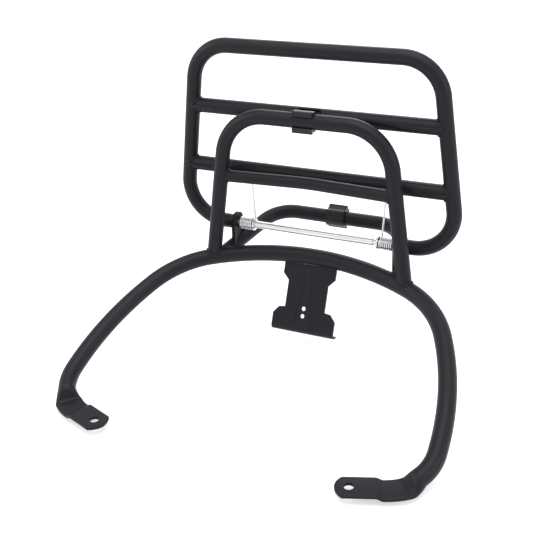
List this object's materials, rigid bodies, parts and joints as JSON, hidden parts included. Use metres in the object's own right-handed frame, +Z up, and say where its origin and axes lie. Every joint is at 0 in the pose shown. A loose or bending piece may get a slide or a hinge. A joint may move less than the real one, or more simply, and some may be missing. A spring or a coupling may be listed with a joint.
{
  "type": "motorcycle luggage rack",
  "caption": "Folding tubular luggage rack: a bowed base loop with flattened feet, an upright hoop, and a sprung carrying grid hinged to fold down over a rear support.",
  "frame": {"origin": "midway between the two foot holes, on the underside of the feet", "axes": "+X to the rack's left-hand side seen from the rear, which is the right of the picture; +Y rearward, away from the feet; +Z up"},
  "size_m": [0.4092, 0.3477, 0.3322],
  "materials": {
    "powder_coat": "satin",
    "zinc_plate": "satin",
    "spring_steel": "satin",
    "black_plastic": "satin"
  },
  "bodies": {
    "fixed_frame": {"base_loop": "powder_coat", "upright_hoop": "powder_coat", "hoop_crossbar": "powder_coat", "support_hoop": "powder_coat", "hinge_ear_left": "powder_coat", "hinge_ear_right": "powder_coat", "tail_bracket": "powder_coat", "hinge_rod": "zinc_plate", "spacer_sleeve": "zinc_plate", "spring_left": "spring_steel", "spring_right": "spring_steel", "spring_washer_left": "zinc_plate", "spring_washer_right": "zinc_plate", "retaining_ring_left": "zinc_plate", "retaining_ring_right": "zinc_plate", "hoop_clip": "black_plastic", "support_clip": "black_plastic"},
    "folding_rack": {"rack_frame": "powder_coat", "rack_bar_upper": "powder_coat", "rack_bar_lower": "powder_coat", "hinge_bush_left": "black_plastic", "hinge_bush_right": "black_plastic"}
  },
  "joints": [
    {"name": "fold", "type": "hinge", "parent": "fixed_frame", "child": "folding_rack", "pos_m": [0, 0.25346, 0.1172], "axis": [-1, 0, 0], "range_deg": [0, 81.4], "stiffness_Nm_per_rad": 1.1, "springref_deg": -28.65, "deforming": ["spring_left", "spring_right"]}
  ]
}
